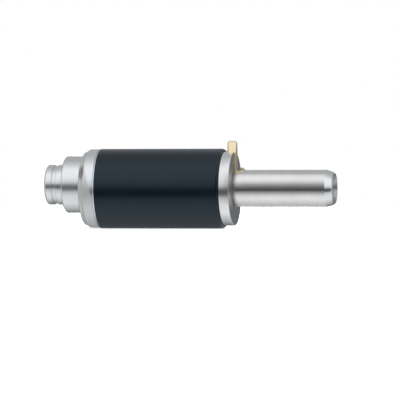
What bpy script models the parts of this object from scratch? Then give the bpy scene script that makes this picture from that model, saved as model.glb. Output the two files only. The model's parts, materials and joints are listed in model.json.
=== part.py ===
"""Air motor of a high-speed dental handpiece: a vane motor in a round casing, built from separate pieces.

The motor lies along X with its nose towards +X, and +Z is up. The origin is on the body's axis, in the
plane of the front cap's face, where a handpiece seats. The hose connection at the rear stands off the
body's axis by HOSE_AXIS_Z. Dimensions below are in millimetres; MM turns them into metres.
"""

import math

import bmesh
import bpy
from mathutils import Matrix, Vector

MM = 0.001
GAP = 0.1

# Body: sleeve, caps and casing
BODY_R = 10.0
SLEEVE_REAR_X = -34.5
SLEEVE_FRONT_X = -2.65
SLEEVE_BORE_R = 9.15
SLEEVE_EDGE_R = 9.85
SLEEVE_EDGE_LENGTH = 0.35
SLEEVE_TAPER_X = -3.5
SLEEVE_NOSE_R = 9.72
CASING_R = 9.0
CASING_BORE_R = 8.15
FLANGE_REAR_X = -38.4
FLANGE_FRONT_X = SLEEVE_REAR_X - GAP
FLANGE_FACE_R = 8.9
FLANGE_LIP_R = 9.32
CAP_RING_R = 9.35
CAP_RING_REAR_X = SLEEVE_FRONT_X + GAP
CAP_NECK_R = CASING_BORE_R - 0.15

# Hose connection, on its own axis
HOSE_AXIS_Z = 1.0
SPIGOT_REAR_X = -48.17
SPIGOT_R = 5.0
SPIGOT_MOUTH_R = 3.7
COLLAR_REAR_X = -43.35
COLLAR_R = 7.15
COLLAR_STEM_R = 5.4
COLLAR_STEM_FRONT_X = -36.1
COLLAR_BORE_R = 4.1
COLLAR_STEP_X = -40.1
COUNTERBORE_DEPTH = 0.4
SPIGOT_STEM_R = COLLAR_BORE_R - GAP
SPIGOT_STEM_BORE_R = 2.9
NOZZLE_REAR_X = -44.0
NOZZLE_R = 1.6
NOZZLE_BORE_R = 0.9

# Nose tube
TUBE_R = 4.65
TUBE_BORE_R = 3.1
TUBE_END_X = 25.4
TUBE_RELIEF_R = 4.25
TUBE_RELIEF_X = (-0.2, 0.4)
TUBE_LEAD_IN_X = 23.4
TUBE_LEAD_IN_END = (24.95, 4.12)
TUBE_END_R = 3.7
TUBE_MOUTH_R = 3.45
TUBE_MOUTH_DEPTH = 1.6
TUBE_FLANGE_R = 5.6
TUBE_REAR_X = -6.6

# Vane motor stack, from rear to front
STACK_R = CASING_BORE_R - GAP
NECK_END_X = -30.9
REAR_PLATE_X = (-30.8, -28.7)
CYLINDER_X = (-28.6, -13.4)
FRONT_PLATE_X = (-13.3, -11.3)
FRONT_NECK_X = -11.2
CYLINDER_BORE_R = 6.0
CYLINDER_BORE_Z = 0.75
ROTOR_R = 5.15
ROTOR_X = (-28.5, -13.5)
JOURNAL_R = 1.5
SHOULDER_R = 1.85
SHAFT_FRONT_X = -3.1
VANE_COUNT = 4
VANE_THICKNESS = 0.9
VANE_ROOT_R = 2.4

# Drive dog and the pin that holds it on the shaft
DOG_R = 2.3
DOG_PIN_X = -4.6
DOG_PIN_R = 0.4

# Ball bearings
BEARING_WIDTH = 2.5
REAR_BEARING_X = -32.55
FRONT_BEARING_X = -9.55
INNER_RING_R = (1.6, 2.35)
OUTER_RING_R = (3.2, 4.0)
BALL_PITCH_R = 2.775
BALL_R = 0.58
RACE_R = 0.68
RACE_POINTS = 4
BALL_COUNT = 7
BOSS_R = 5.2

# Coupling key: an L-shaped latch that is pressed towards the axis
KEY_HALF_WIDTH = 1.2
KEY_TRAVEL = 0.7
KEY_TOP_Z = 11.95
KEY_FRONT_X = 0.42
KEY_PIN_X = -0.35
KEY_PIN_Z = 7.0
KEY_SPRING_X = -1.5

OUTER_STEPS = 36
INNER_STEPS = 24
SMALL_STEPS = 18

# Finish: base colour, roughness, metallic
FINISHES = {
    "satin_steel": ((0.62, 0.62, 0.61), 0.32, 1.0),
    "polished_steel": ((0.72, 0.72, 0.72), 0.16, 1.0),
    "black_anodised": ((0.022, 0.028, 0.036), 0.42, 0.35),
    "gold": ((0.83, 0.66, 0.36), 0.28, 1.0),
    "bearing_steel": ((0.55, 0.56, 0.58), 0.2, 1.0),
    "aluminium": ((0.66, 0.67, 0.68), 0.38, 1.0),
    "bronze": ((0.55, 0.36, 0.18), 0.7, 1.0),
    "rubber": ((0.02, 0.02, 0.02), 0.7, 0.0),
    "vane_laminate": ((0.32, 0.17, 0.07), 0.6, 0.0),
}


def clear_scene():
    for obj in list(bpy.data.objects):
        bpy.data.objects.remove(obj, do_unlink=True)


def new_collection(name):
    collection = bpy.data.collections.new(name)
    bpy.context.scene.collection.children.link(collection)
    return collection


clear_scene()
PARTS = new_collection("high_speed_air_motor")
CUTTERS = new_collection("cutters")


def finish_material(name, finish):
    colour, roughness, metallic = FINISHES[finish]
    material = bpy.data.materials.new(name)
    material.use_nodes = True
    shader = material.node_tree.nodes["Principled BSDF"]
    shader.inputs["Base Color"].default_value = (*colour, 1.0)
    shader.inputs["Roughness"].default_value = roughness
    shader.inputs["Metallic"].default_value = metallic
    return material


def add_part(name, mesh, finish):
    """A named sub-part with its own material, in the object's collection."""
    obj = bpy.data.objects.new(name, mesh)
    mesh.materials.clear()
    mesh.materials.append(finish_material(name, finish))
    PARTS.objects.link(obj)
    return obj


def add_cutter(name, mesh):
    obj = bpy.data.objects.new(name, mesh)
    obj.hide_render = True
    obj.display_type = "WIRE"
    CUTTERS.objects.link(obj)
    return obj


def baked_mesh(obj):
    """The object's mesh with its modifiers applied, smooth on its round faces and sharp at its corners."""
    bpy.context.view_layer.update()
    graph = bpy.context.evaluated_depsgraph_get()
    mesh = bpy.data.meshes.new_from_object(obj.evaluated_get(graph))
    mesh.shade_smooth()
    mesh.set_sharp_from_angle(angle=math.radians(30))
    return mesh


def turned_mesh(name, path, closed, steps):
    """A solid of revolution about local Z from (x, r) points that run down its outer side, front to rear."""
    points = [(r * MM, 0.0, x * MM) for x, r in path]
    edges = [(i, i + 1) for i in range(len(points) - 1)]
    if closed:
        edges.append((len(points) - 1, 0))
    profile = bpy.data.meshes.new(name + "_profile")
    profile.from_pydata(points, edges, [])
    helper = bpy.data.objects.new(name + "_profile", profile)
    CUTTERS.objects.link(helper)
    screw = helper.modifiers.new("turn", "SCREW")
    screw.angle = 2 * math.pi
    screw.steps = steps
    screw.render_steps = steps
    screw.use_merge_vertices = True
    screw.merge_threshold = 1e-6
    mesh = baked_mesh(helper)
    bpy.data.objects.remove(helper, do_unlink=True)
    return mesh


def lay_along_x(obj, axis_z=0.0):
    """Turns local Z onto +X and puts the object's origin on its axis."""
    obj.rotation_euler = (0.0, math.pi / 2, 0.0)
    obj.location = (0.0, 0.0, axis_z * MM)
    return obj


def turned_ring(name, outer, inner, finish, steps=OUTER_STEPS, axis_z=0.0):
    """A hollow turned part. Both outlines are (x, r) points that run from rear to front."""
    path = list(reversed(outer)) + list(inner)
    mesh = turned_mesh(name, path, True, steps)
    return lay_along_x(add_part(name, mesh, finish), axis_z)


def turned_solid(name, outer, finish, steps=OUTER_STEPS, axis_z=0.0):
    """A solid turned part from (x, r) points that run from rear to front."""
    path = [(outer[-1][0], 0.0), *reversed(outer), (outer[0][0], 0.0)]
    mesh = turned_mesh(name, path, False, steps)
    return lay_along_x(add_part(name, mesh, finish), axis_z)


def cylinder_in(bm, start, end, radius, steps):
    """Adds a closed cylinder between two points in millimetres to a bmesh."""
    start = Vector(start) * MM
    end = Vector(end) * MM
    along = end - start
    turn = along.to_track_quat("Z", "Y").to_matrix().to_4x4()
    place = Matrix.Translation((start + end) / 2) @ turn
    bmesh.ops.create_cone(
        bm,
        cap_ends=True,
        segments=steps,
        radius1=radius * MM,
        radius2=radius * MM,
        depth=along.length,
        matrix=place,
    )


def box_in(bm, low, high):
    """Adds a box between two corners in millimetres to a bmesh."""
    low = Vector(low) * MM
    high = Vector(high) * MM
    size = Matrix.Diagonal((*(high - low), 1.0))
    bmesh.ops.create_cube(bm, size=1.0, matrix=Matrix.Translation((low + high) / 2) @ size)


def mesh_of(name, bm):
    mesh = bpy.data.meshes.new(name)
    bm.to_mesh(mesh)
    bm.free()
    return mesh


def cylinders_mesh(name, cylinders, steps=16):
    """A mesh of closed cylinders, each given as (start, end, radius)."""
    bm = bmesh.new()
    for start, end, radius in cylinders:
        cylinder_in(bm, start, end, radius, steps)
    return mesh_of(name, bm)


def boxes_mesh(name, boxes):
    """A mesh of boxes, each given as (low corner, high corner)."""
    bm = bmesh.new()
    for low, high in boxes:
        box_in(bm, low, high)
    return mesh_of(name, bm)


def boolean(obj, tool, operation="DIFFERENCE"):
    modifier = obj.modifiers.new(tool.name, "BOOLEAN")
    modifier.operation = operation
    modifier.solver = "EXACT"
    modifier.object = tool


def cut_cylinders(obj, name, cylinders, steps=16):
    boolean(obj, add_cutter(name, cylinders_mesh(name, cylinders, steps)))


def cut_boxes(obj, name, boxes):
    boolean(obj, add_cutter(name, boxes_mesh(name, boxes)))


def ring_of_points(count, radius, x, axis_z=0.0, first=0.0):
    """Points evenly spaced on a circle about an axis parallel to X; the angle counts from +Z."""
    for index in range(count):
        angle = first + 2 * math.pi * index / count
        yield (x, radius * math.sin(angle), axis_z + radius * math.cos(angle))


def make_oring(name, x, centre_r, section_r, steps=OUTER_STEPS, axis_z=0.0):
    """An O-ring with as many steps as the groove it lies in, so that their flats line up."""
    bpy.ops.mesh.primitive_torus_add(
        major_radius=centre_r * MM,
        minor_radius=section_r * MM,
        major_segments=steps,
        minor_segments=6,
    )
    obj = bpy.context.active_object
    mesh = obj.data
    bpy.data.objects.remove(obj, do_unlink=True)
    mesh.transform(Matrix.Translation((0.0, 0.0, x * MM)))
    mesh.shade_smooth()
    return lay_along_x(add_part(name, mesh, "rubber"), axis_z)


# ---- Hose connection ----


def make_hose_spigot():
    """The grooved tube that the hose's coupling snaps over; its shoulder sits in the collar's counterbore."""
    shoulder_x = COLLAR_REAR_X + COUNTERBORE_DEPTH - GAP
    stem_end_x = -41.1
    mouth_end_x = -44.3
    groove_x = (-46.75, -46.55, -46.35)
    groove_depth = 0.25
    band_x = (-45.65, -45.55, -44.7, -44.6)
    band_r = SPIGOT_R - 0.3
    outer = [
        (SPIGOT_REAR_X, 4.05),
        (SPIGOT_REAR_X + 0.15, 4.5),
        (SPIGOT_REAR_X + 0.37, 4.8),
        (SPIGOT_REAR_X + 0.67, SPIGOT_R),
        (groove_x[0], SPIGOT_R),
        (groove_x[1], SPIGOT_R - groove_depth),
        (groove_x[2], SPIGOT_R),
        (band_x[0], SPIGOT_R),
        (band_x[1], band_r),
        (band_x[2], band_r),
        (band_x[3], SPIGOT_R),
        (shoulder_x, SPIGOT_R),
        (shoulder_x, SPIGOT_STEM_R),
        (stem_end_x, SPIGOT_STEM_R),
    ]
    inner = [
        (SPIGOT_REAR_X, SPIGOT_MOUTH_R),
        (mouth_end_x, SPIGOT_MOUTH_R),
        (mouth_end_x, SPIGOT_STEM_BORE_R),
        (stem_end_x, SPIGOT_STEM_BORE_R),
    ]
    turned_ring("hose_spigot", outer, inner, "satin_steel", axis_z=HOSE_AXIS_Z)


def make_air_supply_nozzle():
    """The central tube that brings drive air in, held by a pierced flange inside the collar."""
    flange_x = (-41.0, -40.2)
    flange_r = 3.95
    groove_x = (-43.55, -42.95)
    groove_r = 1.35
    outer = [
        (NOZZLE_REAR_X, NOZZLE_R - 0.15),
        (NOZZLE_REAR_X + 0.15, NOZZLE_R),
        (groove_x[0], NOZZLE_R),
        (groove_x[0], groove_r),
        (groove_x[1], groove_r),
        (groove_x[1], NOZZLE_R),
        (flange_x[0], NOZZLE_R),
        (flange_x[0], flange_r),
        (flange_x[1], flange_r),
        (flange_x[1], NOZZLE_R),
        (COLLAR_STEM_FRONT_X, NOZZLE_R),
    ]
    inner = [(NOZZLE_REAR_X, NOZZLE_BORE_R), (COLLAR_STEM_FRONT_X, NOZZLE_BORE_R)]
    nozzle = turned_ring("air_supply_nozzle", outer, inner, "satin_steel", SMALL_STEPS, HOSE_AXIS_Z)
    hole_pitch_r = 2.6
    hole_r = 0.55
    holes = []
    for x, y, z in ring_of_points(6, hole_pitch_r, flange_x[0], HOSE_AXIS_Z):
        holes.append(((x - 0.5, y, z), (x + 1.3, y, z), hole_r))
    cut_cylinders(nozzle, "nozzle_flange_holes", holes, 12)
    make_oring("supply_oring", sum(groove_x) / 2, 1.62, 0.22, SMALL_STEPS, HOSE_AXIS_Z)


def make_hose_collar():
    """The larger collar, screwed off-centre into the rear cap."""
    front_x = FLANGE_REAR_X - GAP
    groove_x = (-37.6, -37.0)
    groove_r = 5.05
    counterbore_x = COLLAR_REAR_X + COUNTERBORE_DEPTH
    counterbore_r = SPIGOT_R + GAP
    bore_r = 3.2
    outer = [
        (COLLAR_REAR_X, COLLAR_R - 0.7),
        (COLLAR_REAR_X + 0.12, COLLAR_R - 0.34),
        (COLLAR_REAR_X + 0.3, COLLAR_R - 0.1),
        (COLLAR_REAR_X + 0.55, COLLAR_R),
        (front_x, COLLAR_R),
        (front_x, COLLAR_STEM_R),
        (groove_x[0], COLLAR_STEM_R),
        (groove_x[0], groove_r),
        (groove_x[1], groove_r),
        (groove_x[1], COLLAR_STEM_R),
        (COLLAR_STEM_FRONT_X, COLLAR_STEM_R),
    ]
    inner = [
        (COLLAR_REAR_X, counterbore_r),
        (counterbore_x, counterbore_r),
        (counterbore_x, COLLAR_BORE_R),
        (COLLAR_STEP_X, COLLAR_BORE_R),
        (COLLAR_STEP_X, bore_r),
        (COLLAR_STEM_FRONT_X, bore_r),
    ]
    turned_ring("hose_collar", outer, inner, "satin_steel", axis_z=HOSE_AXIS_Z)
    make_oring("collar_oring", sum(groove_x) / 2, 5.26, 0.17, axis_z=HOSE_AXIS_Z)


# ---- Body ----


def make_rear_cap():
    """The end cap: a stepped flange flush with the sleeve and a neck that screws into the casing."""
    cavity_x = -36.0
    cavity_r = 6.9
    lip_x = (FLANGE_REAR_X + 0.2, FLANGE_REAR_X + 0.85)
    step_front_x = FLANGE_REAR_X + 1.3
    path = [
        (cavity_x, 0.0),
        (cavity_x, cavity_r),
        (NECK_END_X, cavity_r),
        (NECK_END_X, CAP_NECK_R),
        (FLANGE_FRONT_X, CAP_NECK_R),
        (FLANGE_FRONT_X, BODY_R),
        (step_front_x, BODY_R - GAP),
        (lip_x[1], FLANGE_LIP_R),
        (lip_x[0], FLANGE_LIP_R - 0.17),
        (FLANGE_REAR_X, FLANGE_FACE_R),
        (FLANGE_REAR_X, 0.0),
    ]
    mesh = turned_mesh("rear_cap", path, False, OUTER_STEPS)
    cap = lay_along_x(add_part("rear_cap", mesh, "satin_steel"))
    hole_r = COLLAR_STEM_R + GAP
    start = (FLANGE_REAR_X - 1.0, 0.0, HOSE_AXIS_Z)
    end = (cavity_x + 1.0, 0.0, HOSE_AXIS_Z)
    cut_cylinders(cap, "rear_cap_hose_hole", [(start, end, hole_r)], OUTER_STEPS)


def make_air_distributor():
    """The plate behind the rear bearing that passes supply air in and exhaust air out."""
    rear_x = -35.9
    front_x = -34.9
    plate_r = 6.8
    exhaust_pitch_r = 5.2
    exhaust_r = 0.75
    outline = [(rear_x, plate_r), (front_x, plate_r)]
    plate = turned_solid("air_distributor", outline, "aluminium", INNER_STEPS)
    holes = [((rear_x - 1, 0.0, HOSE_AXIS_Z), (front_x + 1, 0.0, HOSE_AXIS_Z), NOZZLE_BORE_R)]
    for x, y, z in ring_of_points(6, exhaust_pitch_r, rear_x):
        holes.append(((x - 1, y, z), (front_x + 1, y, z), exhaust_r))
    cut_cylinders(plate, "distributor_holes", holes, 12)


def make_exhaust_silencer():
    """The sintered ring round the rear plate's boss, inside the rear cap's neck."""
    ends_x = (-34.2, -31.0)
    radius = 6.75
    bore_r = BOSS_R + 0.15
    outer = [(x, radius) for x in ends_x]
    inner = [(x, bore_r) for x in ends_x]
    turned_ring("exhaust_silencer", outer, inner, "bronze", INNER_STEPS)


def make_motor_casing():
    """The steel tube that holds the motor stack, with a groove for each of the sleeve's O-rings."""
    front_x = CAP_RING_REAR_X - GAP
    groove_r = 8.6
    half_groove = 0.4
    outer = [(SLEEVE_REAR_X, CASING_R)]
    for x in (-32.1, -6.2):
        outer += [(x - half_groove, CASING_R), (x - half_groove, groove_r)]
        outer += [(x + half_groove, groove_r), (x + half_groove, CASING_R)]
        name = "sleeve_oring_rear" if x < -20 else "sleeve_oring_front"
        make_oring(name, x, 8.87, 0.2)
    outer.append((front_x, CASING_R))
    inner = [(SLEEVE_REAR_X, CASING_BORE_R), (front_x, CASING_BORE_R)]
    turned_ring("motor_casing", outer, inner, "aluminium")


def make_grip_sleeve():
    outer = [
        (SLEEVE_REAR_X, SLEEVE_EDGE_R),
        (SLEEVE_REAR_X + SLEEVE_EDGE_LENGTH, BODY_R),
        (SLEEVE_TAPER_X, BODY_R),
        (SLEEVE_FRONT_X, SLEEVE_NOSE_R),
    ]
    inner = [(SLEEVE_REAR_X, SLEEVE_BORE_R), (SLEEVE_FRONT_X, SLEEVE_BORE_R)]
    turned_ring("grip_sleeve", outer, inner, "black_anodised")


def make_front_cap():
    """The front ring and its neck, with the key's slot in its face and the key's pin and spring holes."""
    bore_r = TUBE_R + GAP
    seat_r = TUBE_FLANGE_R + 0.15
    step_x = TUBE_REAR_X + 1.2
    chamfer = 0.2
    outer = [
        (FRONT_NECK_X, CAP_NECK_R),
        (CAP_RING_REAR_X, CAP_NECK_R),
        (CAP_RING_REAR_X, CAP_RING_R),
        (-chamfer, CAP_RING_R),
        (0.0, CAP_RING_R - chamfer),
    ]
    inner = [
        (FRONT_NECK_X, seat_r),
        (step_x, seat_r),
        (step_x, bore_r),
        (0.0, bore_r),
    ]
    cap = turned_ring("front_cap", outer, inner, "polished_steel")
    half = KEY_HALF_WIDTH + GAP
    bar_slot = ((-0.95, -half, 3.0), (1.0, half, 11.0))
    block_pocket = ((CAP_RING_REAR_X - 0.3, -half, 8.15), (1.0, half, 11.0))
    cut_boxes(cap, "key_bar_slot", [bar_slot])
    cut_boxes(cap, "key_block_pocket", [block_pocket])
    pin_hole = ((KEY_PIN_X, -2.5, KEY_PIN_Z), (KEY_PIN_X, 2.5, KEY_PIN_Z), 0.26)
    cut_cylinders(cap, "key_pin_hole", [pin_hole], 12)
    spring_hole = ((KEY_SPRING_X, 0.0, 5.6), (KEY_SPRING_X, 0.0, 9.0), 0.4)
    cut_cylinders(cap, "key_spring_hole", [spring_hole], 16)


def make_nose_tube():
    """The tube that a handpiece slides over: a hidden flange, a relief at its root and the key's slot."""
    outer = [
        (TUBE_REAR_X, TUBE_FLANGE_R),
        (TUBE_REAR_X + 1.05, TUBE_FLANGE_R),
        (TUBE_REAR_X + 1.05, TUBE_R),
        (TUBE_RELIEF_X[0], TUBE_R),
        (TUBE_RELIEF_X[0], TUBE_RELIEF_R),
        (TUBE_RELIEF_X[1], TUBE_RELIEF_R),
        (TUBE_RELIEF_X[1], TUBE_R),
        (TUBE_LEAD_IN_X, TUBE_R),
        TUBE_LEAD_IN_END,
        (TUBE_END_X, TUBE_END_R),
    ]
    inner = [
        (TUBE_REAR_X, TUBE_BORE_R),
        (TUBE_END_X - TUBE_MOUTH_DEPTH, TUBE_BORE_R),
        (TUBE_END_X, TUBE_MOUTH_R),
    ]
    tube = turned_ring("nose_tube", outer, inner, "polished_steel")
    half = KEY_HALF_WIDTH + GAP
    cut_boxes(tube, "key_foot_slot", [((-1.1, -half, 3.3), (2.8, half, 6.0))])


def make_nose_retaining_ring():
    """The split ring that holds the tube's flange in the front cap."""
    ends_x = (-7.25, TUBE_REAR_X - GAP)
    radius = 5.65
    bore_r = 4.2
    outer = [(x, radius) for x in ends_x]
    inner = [(x, bore_r) for x in ends_x]
    ring = turned_ring("nose_retaining_ring", outer, inner, "bearing_steel", INNER_STEPS)
    cut_boxes(ring, "retaining_ring_gap", [((-8.0, -0.8, -7.0), (-6.0, 0.8, -3.0))])


# ---- Vane motor ----


def make_end_plates():
    """The two plates that close the cylinder and carry the bearings in bosses on their outer sides."""
    bore_r = SHOULDER_R + GAP
    pocket_r = OUTER_RING_R[1] + GAP
    rear_boss_x = -34.3
    rear_pocket_x = -31.2
    outer = [
        (rear_boss_x, BOSS_R),
        (REAR_PLATE_X[0], BOSS_R),
        (REAR_PLATE_X[0], STACK_R),
        (REAR_PLATE_X[1], STACK_R),
    ]
    inner = [
        (rear_boss_x, pocket_r),
        (rear_pocket_x, pocket_r),
        (rear_pocket_x, bore_r),
        (REAR_PLATE_X[1], bore_r),
    ]
    rear = turned_ring("rear_end_plate", outer, inner, "aluminium", INNER_STEPS)
    port_pitch_r = 6.1
    port_r = 0.6
    ports = []
    for _, y, z in ring_of_points(3, port_pitch_r, REAR_PLATE_X[0]):
        ports.append(((REAR_PLATE_X[0] - 1, y, z), (REAR_PLATE_X[1] + 1, y, z), port_r))
    cut_cylinders(rear, "rear_plate_ports", ports, 12)

    front_boss_x = -8.2
    front_pocket_x = -10.9
    outer = [
        (FRONT_PLATE_X[0], STACK_R),
        (FRONT_PLATE_X[1], STACK_R),
        (FRONT_PLATE_X[1], BOSS_R),
        (front_boss_x, BOSS_R),
    ]
    inner = [
        (FRONT_PLATE_X[0], bore_r),
        (front_pocket_x, bore_r),
        (front_pocket_x, pocket_r),
        (front_boss_x, pocket_r),
    ]
    front = turned_ring("front_end_plate", outer, inner, "aluminium", INNER_STEPS)

    dowel_z = -6.65
    dowel_r = 0.5
    dowel_x = (REAR_PLATE_X[1] - 1.1, FRONT_PLATE_X[0] + 1.1)
    start = (dowel_x[0], 0.0, dowel_z)
    end = (dowel_x[1], 0.0, dowel_z)
    dowel_mesh = cylinders_mesh("cylinder_dowel_pin", [(start, end, dowel_r)])
    add_part("cylinder_dowel_pin", dowel_mesh, "bearing_steel")
    hole = ((dowel_x[0] - GAP, 0.0, dowel_z), (dowel_x[1] + GAP, 0.0, dowel_z), dowel_r + GAP)
    for plate, label in ((rear, "rear"), (front, "front")):
        cut_cylinders(plate, label + "_dowel_hole", [hole])
    return hole


def make_air_cylinder(dowel_hole):
    """The liner with its off-centre bore, inlet groove and exhaust holes."""
    ends = [(CYLINDER_X[0], STACK_R), (CYLINDER_X[1], STACK_R)]
    cylinder = turned_solid("air_cylinder", ends, "bearing_steel", INNER_STEPS)
    start = (CYLINDER_X[0] - 1, 0.0, CYLINDER_BORE_Z)
    end = (CYLINDER_X[1] + 1, 0.0, CYLINDER_BORE_Z)
    cut_cylinders(cylinder, "cylinder_bore", [(start, end, CYLINDER_BORE_R)], INNER_STEPS)
    cut_cylinders(cylinder, "cylinder_dowel_hole", [dowel_hole])
    exhaust_x = (-24.5, -21.0, -17.5)
    exhaust_z = -1.0
    exhaust_r = 0.7
    exhaust = [((x, 4.5, exhaust_z), (x, 9.0, exhaust_z), exhaust_r) for x in exhaust_x]
    cut_cylinders(cylinder, "cylinder_exhaust_holes", exhaust, 12)


def make_rotor(spin_axis):
    """The slotted rotor and its shaft in one piece, with its four vanes."""
    shaft_rear_x = -34.75
    shoulder_x = (-31.3, -10.8)
    outer = [
        (shaft_rear_x, JOURNAL_R - 0.15),
        (shaft_rear_x + 0.15, JOURNAL_R),
        (shoulder_x[0], JOURNAL_R),
        (shoulder_x[0], SHOULDER_R),
        (ROTOR_X[0], SHOULDER_R),
        (ROTOR_X[0], ROTOR_R),
        (ROTOR_X[1], ROTOR_R),
        (ROTOR_X[1], SHOULDER_R),
        (shoulder_x[1], SHOULDER_R),
        (shoulder_x[1], JOURNAL_R),
        (SHAFT_FRONT_X, JOURNAL_R),
    ]
    rotor = turned_solid("rotor", outer, "bearing_steel", INNER_STEPS)
    rotor.parent = spin_axis
    half_slot = VANE_THICKNESS / 2 + GAP
    slot = ((ROTOR_X[0] - 1, -half_slot, VANE_ROOT_R - GAP), (ROTOR_X[1] + 1, half_slot, ROTOR_R + 1))
    half_vane = VANE_THICKNESS / 2
    low = (ROTOR_X[0] + 0.05, -half_vane, VANE_ROOT_R)
    high = (ROTOR_X[1] - 0.05, half_vane, ROTOR_R - 0.05)
    vane_mesh = boxes_mesh("vane", [(low, high)])
    for index in range(VANE_COUNT):
        angle = math.radians(45) + 2 * math.pi * index / VANE_COUNT
        turn = (angle, 0.0, 0.0)
        cutter = add_cutter(f"vane_slot_{index + 1}", boxes_mesh("vane_slot", [slot]))
        cutter.rotation_euler = turn
        boolean(rotor, cutter)
        vane = add_part(f"vane_{index + 1}", vane_mesh.copy(), "vane_laminate")
        vane.parent = spin_axis
        vane.rotation_euler = turn
    pin_reach = DOG_R + 1.0
    pin_hole = ((DOG_PIN_X, -pin_reach, 0.0), (DOG_PIN_X, pin_reach, 0.0), DOG_PIN_R + GAP)
    cut_cylinders(rotor, "shaft_pin_hole", [pin_hole])
    return pin_hole


def make_drive_coupling(spin_axis, pin_hole):
    """The dog that drives the handpiece, pinned to the shaft inside the nose tube."""
    rear_x = -6.0
    front_x = 7.5
    chamfer = (0.6, 0.4)
    slot_rear_x = 4.6
    half_slot = 0.75
    outer = [(rear_x, DOG_R), (front_x - chamfer[0], DOG_R), (front_x, DOG_R - chamfer[1])]
    path = [
        (SHAFT_FRONT_X + GAP, 0.0),
        (SHAFT_FRONT_X + GAP, JOURNAL_R + GAP),
        (rear_x, JOURNAL_R + GAP),
    ]
    path = [(front_x, 0.0), *reversed(outer), *reversed(path)]
    mesh = turned_mesh("drive_coupling", path, False, SMALL_STEPS)
    coupling = lay_along_x(add_part("drive_coupling", mesh, "bearing_steel"))
    coupling.parent = spin_axis
    slot = ((slot_rear_x, -half_slot, -DOG_R - 1.0), (front_x + 0.5, half_slot, DOG_R + 1.0))
    cut_boxes(coupling, "dog_slot", [slot])
    cut_cylinders(coupling, "coupling_pin_hole", [pin_hole])
    start = (DOG_PIN_X, -DOG_R + GAP, 0.0)
    end = (DOG_PIN_X, DOG_R - GAP, 0.0)
    pin_mesh = cylinders_mesh("coupling_pin", [(start, end, DOG_PIN_R)])
    coupling_pin = add_part("coupling_pin", pin_mesh, "bearing_steel")
    coupling_pin.parent = spin_axis


def race_arc(centre_x, half_width):
    """Points of a ball groove, rear to front, as (x, distance from the ball circle)."""
    reach = math.asin(half_width / RACE_R)
    for index in range(RACE_POINTS):
        angle = reach * (2 * index / (RACE_POINTS - 1) - 1)
        yield centre_x + RACE_R * math.sin(angle), RACE_R * math.cos(angle)


def make_bearing(label, centre_x, spin_axis, cage_axis):
    """One ball bearing: outer ring, inner ring, and its balls held in one cage."""
    half = BEARING_WIDTH / 2
    inner_gap = BALL_PITCH_R - INNER_RING_R[1]
    outer_gap = OUTER_RING_R[0] - BALL_PITCH_R
    inner_race = race_arc(centre_x, math.sqrt(RACE_R**2 - inner_gap**2))
    outer_race = race_arc(centre_x, math.sqrt(RACE_R**2 - outer_gap**2))
    ends = (centre_x - half, centre_x + half)

    track = [(ends[0], INNER_RING_R[1])]
    track += [(x, BALL_PITCH_R - depth) for x, depth in inner_race]
    track += [(ends[1], INNER_RING_R[1])]
    bore = [(x, INNER_RING_R[0]) for x in ends]
    name = label + "_bearing_inner_ring"
    inner_ring = turned_ring(name, track, bore, "bearing_steel", SMALL_STEPS)
    inner_ring.parent = spin_axis

    track = [(ends[0], OUTER_RING_R[0])]
    track += [(x, BALL_PITCH_R + depth) for x, depth in outer_race]
    track += [(ends[1], OUTER_RING_R[0])]
    rim = [(x, OUTER_RING_R[1]) for x in ends]
    turned_ring(label + "_bearing_outer_ring", rim, track, "bearing_steel", SMALL_STEPS)

    half_cage = 0.25
    half_sheet = 0.15
    cage_ends = (centre_x - half_cage, centre_x + half_cage)
    outer = [(x, BALL_PITCH_R + half_sheet) for x in cage_ends]
    inner = [(x, BALL_PITCH_R - half_sheet) for x in cage_ends]
    cage = turned_ring(label + "_bearing_ball_cage", outer, inner, "bearing_steel", SMALL_STEPS)
    cage.parent = cage_axis
    bm = bmesh.new()
    for point in ring_of_points(BALL_COUNT, BALL_PITCH_R, centre_x):
        place = Matrix.Translation(Vector(point) * MM)
        bmesh.ops.create_uvsphere(bm, u_segments=8, v_segments=6, radius=BALL_R * MM, matrix=place)
    balls = add_cutter(label + "_bearing_balls", mesh_of("balls", bm))
    boolean(cage, balls, "UNION")


def make_rotor_lock_nut(spin_axis):
    bm = bmesh.new()
    ends_x = (-34.7, -33.9)
    corner_r = 2.4
    cylinder_in(bm, (ends_x[0], 0.0, 0.0), (ends_x[1], 0.0, 0.0), corner_r, 6)
    nut = add_part("rotor_lock_nut", mesh_of("rotor_lock_nut", bm), "bearing_steel")
    nut.parent = spin_axis
    hole = ((ends_x[0] - 1, 0.0, 0.0), (ends_x[1] + 1, 0.0, 0.0), JOURNAL_R + GAP)
    cut_cylinders(nut, "lock_nut_hole", [hole], SMALL_STEPS)


def make_bearing_spacer(spin_axis):
    ends_x = (-8.2, -6.1)
    radius = 2.3
    outer = [(x, radius) for x in ends_x]
    inner = [(x, JOURNAL_R + GAP) for x in ends_x]
    spacer = turned_ring("bearing_spacer", outer, inner, "bearing_steel", SMALL_STEPS)
    spacer.parent = spin_axis


def make_preload_washer():
    """A wavy spring washer that presses the front bearing's outer ring."""
    centre_x = -7.78
    wave = 0.25
    thickness = 0.2
    mesh = turned_mesh("preload_washer", [(centre_x, 3.9), (centre_x, 3.1)], False, SMALL_STEPS)
    for vertex in mesh.vertices:
        angle = math.atan2(vertex.co.y, vertex.co.x)
        vertex.co.z += wave * MM * math.cos(3 * angle)
    washer = lay_along_x(add_part("preload_washer", mesh, "bearing_steel"))
    solidify = washer.modifiers.new("thickness", "SOLIDIFY")
    solidify.thickness = thickness * MM
    solidify.offset = 0.0


# ---- Coupling key ----


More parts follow.
